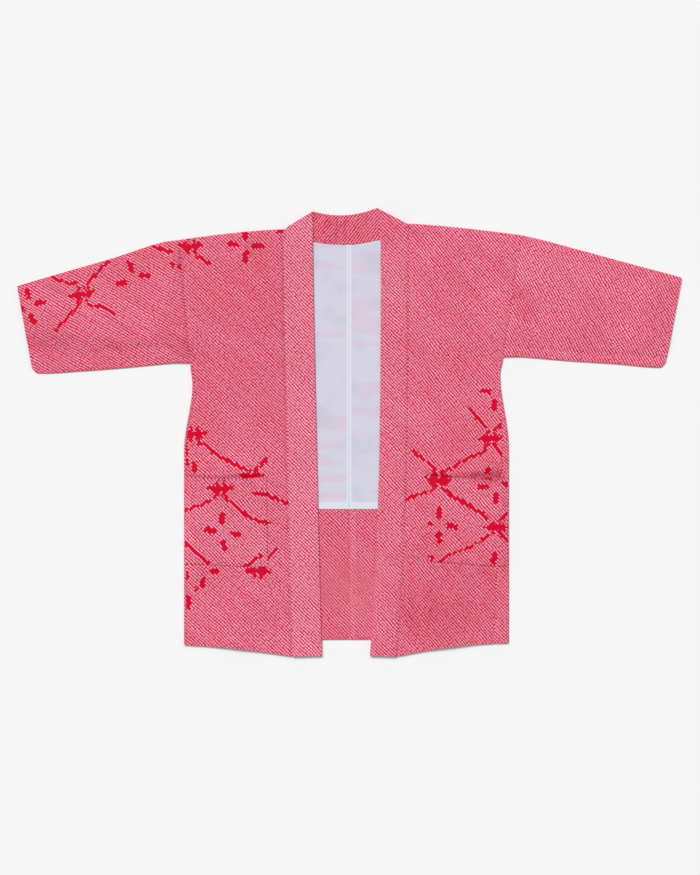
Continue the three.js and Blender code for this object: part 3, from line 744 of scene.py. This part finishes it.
def stitched(pocket, ax, y):
    """How far the front sinks in along the stitches of its pocket's inner edge and foot."""
    foot_y = pocket_foot_y(pocket, across_pocket(pocket, ax))
    down = np.clip((pocket["top"] - y) / (pocket["top"] - foot_y), 0, 1)
    from_edge = ax - pocket["inner"] + pocket["lean"] * down
    alongside = ease((pocket["top"] - y) / 8) * ease((y - foot_y + 3) / 4)
    return np.maximum(dip(from_edge, 0.9, 3) * alongside, dip(y - foot_y, 0.9, 3) * ease((from_edge + 3) / 4))


# The dye takes less in some places than in others, and some of the deeper patches are painted shade
# where creases and a pocket mouth would lie in shadow. Each patch: its x and y, the reach over which it
# fades out, and how much paler it is.
DYE_AND_SHADE_PATCHES = [
    (350, 305, 75, 0.13),
    (470, 240, 110, 0.03),
    (-239, -206, 110, 0.05),
    (-220, -350, 70, 0.04),
    (205, -338, 105, -0.11),
    (130, -330, 55, -0.05),
    (-225, 190, 95, -0.05),
    (-560, 168, 40, -0.06),
    (-440, 165, 40, -0.04),
    (600, 190, 60, -0.05),
    (-598, 182, 45, -0.06),
    # Painted shade: the next deeper patches darken creases on the band by the neck, on the upper chest and at
    # the armholes and armpits.
    (72, 378, 24, -0.16),
    (-320, 157, 26, -0.12),
    (-324, 336, 17, -0.14),
    (-184, 346, 15, -0.12),
    (-168, 320, 17, -0.12),
    (322, 262, 16, -0.16),
    (343, 228, 18, -0.16),
    # Painted shade: the next three deeper patches darken the left pocket's mouth, where shade falls into the
    # opening.
    (240, -84, 9, -0.2),
    (260, -86, 11, -0.3),
    (283, -87, 12, -0.3),
    (395, 322, 26, 0.05),
    (420, 262, 26, 0.05),
    (448, 205, 24, 0.04),
    (372, 232, 20, 0.06),
    (440, 318, 22, -0.04),
    (466, 262, 22, -0.04),
    (520, 275, 30, 0.04),
    (540, 215, 30, 0.04),
]


def patch_dye_and_shade(cloth):
    x, y = cloth[:, :, 0], cloth[:, :, 1]
    total = 0 * x
    for patch_x, patch_y, reach, paler in DYE_AND_SHADE_PATCHES:
        apart = ((x - patch_x) ** 2 + (y - patch_y) ** 2) / reach ** 2
        total = total + paler * np.exp(-apart)
    return total


TOP_SEED = 41
ARMPIT_FADE = 20


def top_layer(x, y):
    """The height that folds add to the cloth that lies uppermost, and its own slight unevenness."""
    return 0.6 + folded(x, y) + swell(x, y) + crumple(x, y, TOP_SEED)


def settled(side, ax, y):
    """1 where cloth lies loose, falling to 0 at the garment's side, where it is folded tight."""
    from_fold = ease((outer_x(side, y) - ax - 2) / 16)
    return np.maximum(from_fold, ease((y - side["under"][1]) / ARMPIT_FADE))


FRONT_GRAIN = dict(right=1.5, left=-5.0)  # the rows of dots don't run quite alike
ARMHOLE_DIP = dict(right=2.2, left=1.1)
GORE_DIP = 0.15
BAND_DIP = dict(right=2.8, left=1.9)
BAND_STEPS = (2, 3.4, 4.2, 5, 6, 7.2, 8.8)
FRONT_WIDTH = 200
TOP_STEP = 3
LIP_ROWS = 4
FRONT_FIGURES = {
    "right": (
        vine((-343, 347), (-328, 352)) + knot(-304, 358, (36, -35)) + petal(-222, 362, -4)
        + petal(-176, 358, -3) + petal(-200, 381, 90) + petal(-199, 338, 84, length=25)
        + petal(-135, 388, -30, length=14, half=4)
        + knot(-298, -3, (34, -30)) + vine((-264, -33), (-262, -39), (-221, -60), (-196, -73), half=3)
        + vine((-315, -12), (-315, -30), (-312, -62), half=3.2) + petal(-297, -66, 95)
        + knot(-186, -83, (26, 31)) + vine((-172, -116), (-160, -118), (-116, -138), half=3.2)
        + vine((-166, -176), (-150, -172)) + knot(-176, -266, (36, 42))
        + petal(-260, -266, 0, length=19) + petal(-281, -289, 80) + petal(-294, -301, 60, length=12, half=4)
        + petal(-314, -276, 88) + petal(-310, -325, 92, length=26)
    ),
    "left": (
        petal(262, 80, -6) + petal(279, 53, 84)
        + knot(272, -11, (-42, 56), (23, 31), (21, -35), (-92, -66)) + knot(171, -87, (-49, 54))
        + vine((104, -130), (126, -120), (148, -115)) + petal(266, -72, 88, length=16, half=4)
    ),
}
for hand, side in SIDES.items():
    shares = across(FRONT_WIDTH, TOP_STEP, near=BAND_STEPS)
    rows = rows_to_lining_hem(side, lambda ax: shoulder_y(side, ax) - FOLD_RADIUS, TOP_STEP)
    rows += rows_between(level(LINING_HEM_Y), lambda ax: front_hem_y(side, ax), TOP_STEP)[1:]
    x, y = panel_grid(side, "front", shares, rows, front_inner_x)
    beside = panel_edge_x(side, "front", y) - abs(x)
    below_fold = ease((y[0] - y) / 12)
    loose = top_layer(x, y) * below_fold * settled(side, abs(x), y)
    above_armpit = ease((y - side["under"][1]) / ARMPIT_FADE)
    sunk = dip(beside, mix(GORE_DIP, ARMHOLE_DIP[hand], above_armpit))
    sunk = sunk + crevice(POCKETS[hand], abs(x), y) + stitched(POCKETS[hand], abs(x), y)
    from_band = np.maximum(0, abs(x) - front_inner_x(side, y) - COLLAR_OVERLAP)
    by_band = dip(from_band, BAND_DIP[hand], 3.8)
    height = FLAT_HEIGHT + loose - (sunk + by_band) * below_fold
    lowest = np.where(y > LINING_HEM_Y, LINING_TOP, FACING_TOP) + SILK + 0.2
    upper = stack(x, y, np.where(below_fold > 0, clear_of(height, lowest), height) + lift(x, y))
    top_x, top_y = x[0], y[0]
    base = lift(top_x, top_y)
    lip_y = top_y - SHOULDER_LIP + FOLD_RADIUS
    lip_x = side["sign"] * mix(front_inner_x(side, lip_y), panel_edge_x(side, "front", lip_y), shares)
    lower = np.array([
        stack(mix(lip_x, top_x, t), mix(lip_y, top_y, t), base) for t in np.linspace(0, 1, LIP_ROWS)
    ])
    upper[0, :, 2] = base + FLAT_HEIGHT
    outer, inner, laid = turn_over(lower, upper, np.array([0.0, 1.0]), SILK)
    front = sew(
        f"front_{hand}_silk", f"front_{hand}", outer, inner, laid,
        grain=FRONT_GRAIN[hand], strokes=FRONT_FIGURES[hand], dye_and_shade=patch_dye_and_shade(outer),
    )
    front.data.materials.append(dotted_silk)

# Side gores. A narrow wedge of the dotted silk between front and back, folded in two along the
# garment's side. The right one is turned so that most of it lies behind.
GORE_ROWS = (56, 54)  # above and below the level of the lining's hem
GORE_COLUMNS = 12

for hand, side in SIDES.items():
    heights = np.concatenate([
        np.linspace(side["under"][1] - GORE_GAP, LINING_HEM_Y, GORE_ROWS[0]),
        np.linspace(LINING_HEM_Y, side["hem_side"], GORE_ROWS[1])[1:],
    ])
    turn = outer_x(side, heights) - FOLD_RADIUS
    leaf = np.linspace(0, 1, GORE_COLUMNS)[:, None]
    lower_x = mix(gore_seam_x(side, "back", heights) + SEAM, turn, leaf)
    upper_x = mix(turn, gore_seam_x(side, "front", heights) + SEAM, leaf)
    rows = np.broadcast_to(heights, lower_x.shape)
    sunk = dip(upper_x - gore_seam_x(side, "front", heights), GORE_DIP) * (leaf > 0)
    loose = top_layer(side["sign"] * upper_x, rows) * settled(side, upper_x, rows) * (leaf > 0)
    lower = stack(side["sign"] * lower_x, rows, 0)
    upper = stack(side["sign"] * upper_x, rows, FLAT_HEIGHT - sunk + loose)
    outer, inner, laid = turn_over(lower, upper, np.array([side["sign"], 0.0]), SILK)
    gore = sew(
        f"gore_{hand}_silk", f"gore_{hand}", outer, inner, laid,
        dye_and_shade=0.03 + patch_dye_and_shade(outer),
    )
    gore.data.materials.append(dotted_silk)

# Sleeves. One tube each of the dotted silk: folded along the top, seamed along the foot, open at the
# wrist. They lie flat and empty, with a few long creases that start at the armpit.
SLEEVE_HEIGHT = 2 * CLOTH + 2 * AIR
SLEEVE_SETTLE = 0.35
SLEEVE_LENGTH = 330
SLEEVE_STEP = 3.6
SLEEVE_ROWS = dict(under=30, top=72)
# The top and the foot of a sleeve, from the armhole to the wrist, at these shares of its length.
SLEEVE_SHARES = (0, 0.12, 0.4, 0.7, 0.97, 1)
SLEEVES = {
    "right": dict(
        top_x=(327, 364, 452, 545, 630, 638.4), top_y=(370, 364.5, 336, 309, 284, 281),
        low_x=(306, 340, 424, 514, 600, 610), low_y=(133, 133, 125, 118, 114, 123), grain=14,
    ),
    "left": dict(
        top_x=(331, 368, 454, 546, 630, 638.4), top_y=(379, 370.5, 347.5, 322.5, 300, 297),
        low_x=(295, 332, 419, 512, 598, 607), low_y=(145, 145, 137.5, 131.5, 125, 134), grain=-15,
    ),
}
SLEEVE_FIGURES = {
    "right": (
        knot(-512, 265, (-61, 36), (51, 66), (-51, -67), (60, -36), turn=8) + petal(-617, 266, 100)
        + petal(-592, 249, 8) + petal(-629, 239, -25, length=16) + petal(-608, 218, 115)
        + petal(-420, 318, 105) + petal(-395, 302, 12) + petal(-437, 287, 8)
        + vine((-380, 359), (-362, 352), (-343, 347), half=3) + petal(-341, 323, -50, length=12, half=3.6)
        + petal(-326, 318, -45, length=12, half=3.6) + knot(-304, 358)
    ),
    "left": [],
}


def smooth_through(shares, values, at):
    """A smooth curve through a table's values."""
    shares, values = np.array(shares, float), np.array(values, float)
    before = np.maximum(np.arange(len(shares)) - 1, 0)
    after = np.minimum(np.arange(len(shares)) + 1, len(shares) - 1)
    slopes = (values[after] - values[before]) / (shares[after] - shares[before])
    i = np.clip(np.searchsorted(shares, at, side="left") - 1, 0, len(shares) - 2)
    step = shares[i + 1] - shares[i]
    t = (at - shares[i]) / step
    bent = step * (slopes[i] * t * (1 - t) ** 2 - slopes[i + 1] * t * t * (1 - t))
    return mix(values[i], values[i + 1], t * t * (3 - 2 * t)) + bent


def sleeve_edge(side, cut, edge, stations):
    """x and y of a sleeve's top or foot."""
    ax = smooth_through(SLEEVE_SHARES, cut[edge + "_x"], stations) + SEAM / 2 * (1 - stations)
    return np.stack([side["sign"] * ax, smooth_through(SLEEVE_SHARES, cut[edge + "_y"], stations)], -1)


def up_sleeve(low, way, distance):
    """x and y at a distance above a sleeve's foot."""
    return (low + way * distance[:, None]).T


for hand, side in SIDES.items():
    cut = SLEEVES[hand]
    stations = across(SLEEVE_LENGTH, SLEEVE_STEP)
    low = sleeve_edge(side, cut, "low", stations)
    top = sleeve_edge(side, cut, "top", stations)
    span = np.linalg.norm(top - low, axis=1)
    way = (top - low) / span[:, None]
    height = mix(FLAT_HEIGHT, SLEEVE_HEIGHT, ease(stations / SLEEVE_SETTLE))
    radius = height / 2
    lower = np.array([
        stack(*up_sleeve(low, way, mix(radius, span - radius, t)), 0)
        for t in np.linspace(0, 1, SLEEVE_ROWS["under"])
    ])
    upper = []
    for t in np.linspace(0, 1, SLEEVE_ROWS["top"]):
        x, y = up_sleeve(low, way, mix(span - radius, radius, t))
        free = ease(min(t, 1 - t) / 0.05)
        loose = top_layer(x, y) * free
        raised = height + loose - dip(stations * SLEEVE_LENGTH, ARMHOLE_DIP[hand]) * free
        upper.append(stack(x, y, np.where(free > 0, clear_of(raised, 2 * SILK + 0.4), height)))
    outer, inner, laid = turn_over(lower, np.array(upper), way, SILK)
    foot = []
    for reach in (radius, radius - SILK):
        foot.append(np.array([
            stack(*up_sleeve(low, way, radius + reach * math.cos(angle)), radius + reach * math.sin(angle))
            for angle in np.linspace(math.pi / 2, 1.5 * math.pi, FOLD_STEPS + 1)[1:-1]
        ]))
    foot_laid = np.array([
        laid[-1] - way * (radius * t)[:, None] for t in np.linspace(0, math.pi, FOLD_STEPS + 1)[1:-1]
    ])
    outer, inner = np.concatenate([outer, foot[0]]), np.concatenate([inner, foot[1]])
    laid = np.concatenate([laid, foot_laid])
    sleeve = sew(
        f"sleeve_{hand}_silk", f"sleeve_{hand}", outer, inner, laid,
        closed=True, grain=cut["grain"], strokes=SLEEVE_FIGURES[hand], dye_and_shade=patch_dye_and_shade(outer),
    )
    sleeve.data.materials.append(dotted_silk)

# Pockets. A patch of the dotted silk on each front, turned in all round and sewn on at the sides and
# foot. Its mouth is a hemmed upper edge that stands a little open.
POCKET_SILK = 1.3
POCKET_SIZE = (160, 172)
POCKET_SEED = 61
# "gape" is how far the mouth stands open; "gape_at" above 1 moves the widest place outwards.
MOUTHS = dict(right=dict(gape=1.6, gape_at=0.8), left=dict(gape=2.6, gape_at=1.7))
POCKET_DYE = dict(right=0.05, left=0.02)
POCKET_GRAIN = dict(right=0, left=-2)
POCKET_FIGURES = {
    "right": (
        knot(-247, -107, (35, -42))
        + vine((-254, -116), (-258, -128), (-285, -139), (-314, -149))
        + vine((-212, -149), (-185, -166), (-166, -173), (-152, -170), half=3.2)
        + vine((-181, -116), (-158, -118), half=3.7)
        + petal(-244, -166, 95) + petal(-267, -187, -6) + petal(-218, -195, -10) + petal(-241, -217, 95)
        + vine((-314, -214), (-289, -235), (-262, -258), half=3.1)
        + vine((-200, -258), (-169, -236), half=3)
    ),
    "left": (
        knot(171, -93, (30, -30)) + vine((160, -100), (158, -112), (140, -113))
        + vine((190, -118), (225, -138), (250, -152), (266, -165), half=3.2)
        + knot(282, -182, (22, 28), (22, -28)) + vine((268, -196), (231, -222), (199, -231), (171, -247))
        + petal(172, -153, 95) + petal(153, -176, 0, length=13, half=4.6) + petal(197, -180, -6)
        + petal(172, -203, 95) + petal(268, -86, 60, length=13) + petal(256, -103, -5)
        + petal(280, -126, 92) + petal(299, -99, -20, length=15) + petal(277, -241, 80)
        + petal(157, -240, -35, length=16, half=3.6)
    ),
}

for hand, side in SIDES.items():
    cut, mouth = POCKETS[hand], MOUTHS[hand]
    wide, deep = POCKET_SIZE
    u = across(wide, TOP_STEP)[None, :]
    v = across(deep, TOP_STEP)[:, None]
    y = mix(cut["top"] - cut["sag"] * np.sin(math.pi * u), pocket_foot_y(cut, u), v)
    ax = mix(cut["inner"] - cut["lean"] * v, outer_x(side, y) - 2, u)
    x = side["sign"] * ax
    gape = mouth["gape"] * np.sin(math.pi * u ** mouth["gape_at"]) * (1 - v) ** 2
    sewn = np.minimum(np.minimum(u, 1 - u) * wide, (1 - v) * deep)
    front_top = FLAT_HEIGHT + top_layer(x, y) * settled(side, ax, y) + lift(x, y) + 0.15
    height = front_top + POCKET_SILK + gape + 0.5 * abs(crumple(x, y, POCKET_SEED)) - dip(sewn, 0.25, 3)
    outer = stack(x, y, height)
    inner = stack(x, y, np.maximum(front_top, height - POCKET_SILK))
    pocket = sew(
        f"pocket_{hand}_silk", f"pocket_{hand}", outer, inner, outer[:, :, :2],
        grain=POCKET_GRAIN[hand], strokes=POCKET_FIGURES[hand],
        dye_and_shade=POCKET_DYE[hand] + patch_dye_and_shade(outer),
    )
    pocket.data.materials.append(dotted_silk)

# Collar. One long band of the dotted silk, folded in two along its length and sewn over the raw edge
# of fronts and back neck. It runs up both fronts, over the shoulders and stands folded at the neck.
COLLAR_HEIGHT = 2 * CLOTH + AIR
COLLAR_RADIUS = COLLAR_HEIGHT / 2
COLLAR_END_INSET = 1.5
COLLAR_HEM_SLANT = 1.5
COLLAR_EDGE_DIP = dict(right=0.3, left=1.4)
COLLAR_DYE = dict(right=0.24, left=0.09)
COLLAR_WIDTH = 54
COLLAR_ROWS = 290
COLLAR_SEED = 71


def collar_under_x(side, y):
    return front_inner_x(side, y) - 2 * SEAM


def collar_leaf(side, shares, edge_x, resting, loosened, edge_dip):
    """One leaf of a band, between its fold and its raw edge. "loosened" lets it lie unevenly."""
    points = []
    for share in shares:
        end = mix(side["peak"][1], side["neck"][1], share) - COLLAR_END_INSET
        y = mix(side["hem_end"] - share * COLLAR_HEM_SLANT, end, np.linspace(0, 1, COLLAR_ROWS))
        ax = mix(collar_in_x(side, y) + COLLAR_RADIUS, edge_x(side, y), share)
        x = side["sign"] * ax
        height = resting + lift(x, y) + clear_of(folded(x, y), -0.1)
        loose = 0.35 * crumple(x, y, COLLAR_SEED) * ease(share * 4) - dip(edge_x(side, y) - ax, edge_dip, 2.6)
        points.append(stack(x, y, height + loosened * loose))
    return np.array(points)


for hand, side in SIDES.items():
    shares, edge_dip = across(COLLAR_WIDTH, TOP_STEP), COLLAR_EDGE_DIP[hand]
    lower = collar_leaf(side, shares[::-1], collar_under_x, FRONT_LEVEL, 0, edge_dip)
    upper = collar_leaf(side, shares, collar_out_x, FRONT_LEVEL + COLLAR_HEIGHT, 1, edge_dip)
    outer, inner, laid = turn_over(lower, upper, np.array([-side["sign"], 0.0]), SILK)
    band = sew(
        f"collar_{hand}_silk", f"collar_front_{hand}", outer, inner, laid,
        dye_and_shade=COLLAR_DYE[hand] + patch_dye_and_shade(outer),
    )
    band.data.materials.append(dotted_silk)

# Behind the neck the band runs on from shoulder to shoulder, creased where it is pressed flat.
COLLAR_DIP = dict(x=-18, y=417.3, bend=0.00285)
NECK_COLUMNS = 120
NECK_ROWS = dict(under=20, top=24)
NECK_SEED = 81
# Each crease across the neck: its x, how far its slopes reach, and its height.
NECK_CREASES = [
    (-62, 7, -1.8),
    (-48, 8, 1.4),
    (-21, 3.6, -4.0),
    (-12.5, 4, 2.0),
    (-5, 3.4, -3.8),
    (6, 7, 1.8),
    (40, 4.6, -3.8),
    (54, 10, 1.4),
]


def collar_top_y(x):
    heights = COLLAR_DIP["y"] + COLLAR_DIP["bend"] * (x - COLLAR_DIP["x"]) ** 2
    for side in SIDES.values():
        (peak_x, peak_y), (neck_x, neck_y) = side["peak"], side["neck"]
        slope = mix(peak_y, neck_y, (abs(x) - peak_x) / (neck_x - peak_x))
        heights = np.where(side["sign"] * x > peak_x, slope, heights)
    return heights


ends = [side["sign"] * (front_inner_x(side, side["neck"][1]) - 2) for side in SIDES.values()]
x = np.linspace(*ends, NECK_COLUMNS)
seam_y = np.where(x < CENTRE_X, neck_seam_y(SIDES["right"], abs(x)), neck_seam_y(SIDES["left"], abs(x)))
neck_height = INSIDE_LEVEL + COLLAR_LIFT + CLOTH
turn_y = collar_top_y(x) - neck_height / 2
lower = np.array([
    stack(x, mix(free_edge_y(x), turn_y, t), 0) for t in np.linspace(0, 1, NECK_ROWS["under"])
])
upper = []
for t in np.linspace(0, 1, NECK_ROWS["top"]):
    y = mix(turn_y, seam_y + SEAM, t)
    creased = sum(
        height * np.exp(-(((x + 0.25 * (y - 385) * (crease_x > 20) - crease_x) / reach) ** 2))
        for crease_x, reach, height in NECK_CREASES
    )
    loose = (1 + creased + 0.4 * crumple(x, y, NECK_SEED)) * ease(t * 5) * (1 - 0.6 * t)
    upper.append(stack(x, y, clear_of(neck_height + loose, 2 * SILK + 0.5)))
upper[0][:, 2] = neck_height
outer, inner, laid = turn_over(lower, np.array(upper), np.array([0.0, 1.0]), SILK)
neck = sew("collar_neck_silk", "collar_neck", outer, inner, laid, grain=97, dye_and_shade=-0.06)
neck.data.materials.append(dotted_silk)

# Floor, light and camera. A studio table under matt paper, to the eye an even pale grey without gloss.
# It is lit by a large soft light from the upper left and seen from straight above.
PIXEL = 1.92  # millimetres of the garment to each pixel of the picture
PICTURE_HEIGHT = 875
PICTURE_MIDDLE = (0.96, -9.6)
CAMERA_HEIGHT = 4.0
STUDIO_GLOW = 0.43
LAMP_STRENGTH = 2.53
LAMP_WIDTH = 28  # degrees, so that shadows have wide soft edges
LAMP_PLACE = (-3.0, 5.4, 7.9)

bpy.ops.mesh.primitive_grid_add(x_subdivisions=8, y_subdivisions=8, size=12)
floor = bpy.context.object
floor.name = "floor"
paper = bpy.data.materials.new("matt_studio_paper")
paper.use_nodes = True
sheet = paper.node_tree.nodes["Principled BSDF"]
sheet.inputs["Base Color"].default_value = linear("#f0f0f0")
sheet.inputs["Roughness"].default_value = 0.9
sheet.inputs["Specular IOR Level"].default_value = 0.1
floor.data.materials.append(paper)
floor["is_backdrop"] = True

world = bpy.data.worlds.new("studio")
world.use_nodes = True
glow = world.node_tree.nodes["Background"]
glow.inputs["Color"].default_value = linear("#ffffff")
glow.inputs["Strength"].default_value = STUDIO_GLOW
bpy.context.scene.world = world

soft_light = bpy.data.lights.new("soft_light", "SUN")
soft_light.angle = math.radians(LAMP_WIDTH)
soft_light.energy = LAMP_STRENGTH
lamp = bpy.data.objects.new("soft_light", soft_light)
lamp.location = LAMP_PLACE
lamp.rotation_euler = (-lamp.location).to_track_quat("-Z", "Y").to_euler()
bpy.context.scene.collection.objects.link(lamp)

lens = bpy.data.cameras.new("camera")
lens.lens = lens.sensor_width * CAMERA_HEIGHT / (PICTURE_HEIGHT * PIXEL * MM)
camera = bpy.data.objects.new("camera", lens)
camera.location = (PICTURE_MIDDLE[0] * MM, PICTURE_MIDDLE[1] * MM, CAMERA_HEIGHT + FLAT_HEIGHT * MM)
bpy.context.scene.collection.objects.link(camera)
bpy.context.scene.camera = camera
bpy.context.scene.view_settings.view_transform = "Standard"

low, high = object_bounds()
